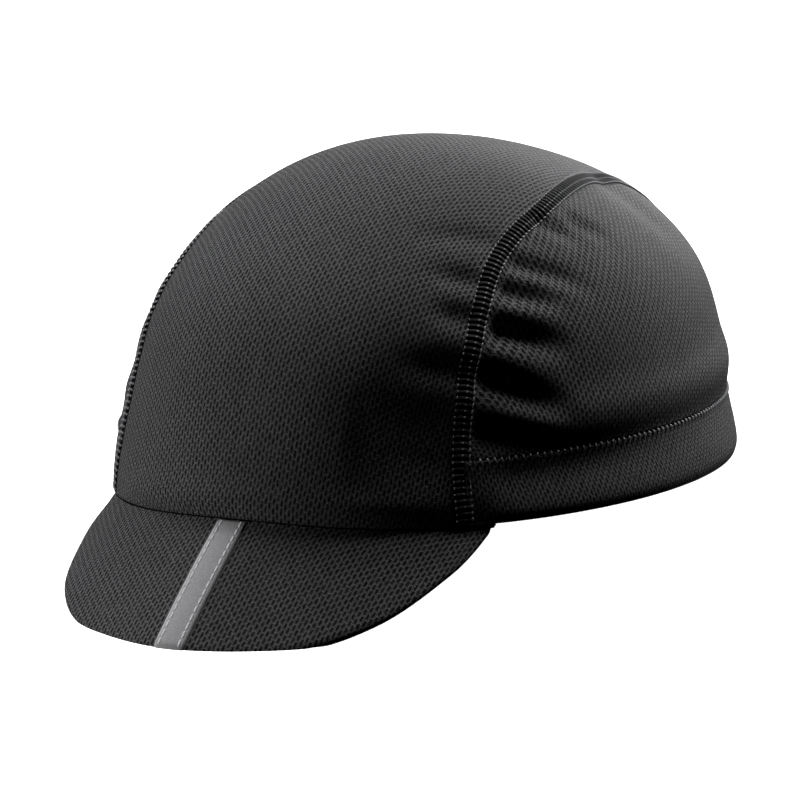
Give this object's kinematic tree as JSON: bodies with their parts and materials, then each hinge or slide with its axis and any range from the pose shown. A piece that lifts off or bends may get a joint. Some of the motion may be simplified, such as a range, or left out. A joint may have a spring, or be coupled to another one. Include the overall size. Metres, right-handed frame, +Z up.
{
  "type": "cycling cap",
  "caption": "Soft three-panel cycling cap with a short curved peak, a reflective strip down the peak and an elastic band round the back.",
  "frame": {"origin": "on the surface that the cap rests on, under the middle of its overall box", "axes": "-Y to the front, the way the peak points; +X to the wearer's left; +Z up"},
  "size_m": [0.1596, 0.244, 0.1005],
  "materials": {
    "crown_cloth": "matte black birdseye mesh knit",
    "band_cloth": "matte black birdseye mesh knit, turned hem over elastic",
    "peak_cloth": "matte black birdseye mesh knit over a stiffener",
    "reflective_tape": "satin grey reflective tape",
    "dark_thread": "black overlock and cover-stitch thread",
    "light_thread": "light grey lockstitch thread"
  },
  "bodies": {
    "root": {"centre_panel": "crown_cloth", "side_panel_left": "crown_cloth", "side_panel_right": "crown_cloth", "rear_band": "band_cloth", "peak": "peak_cloth", "reflective_strip": "reflective_tape"}
  },
  "joints": []
}
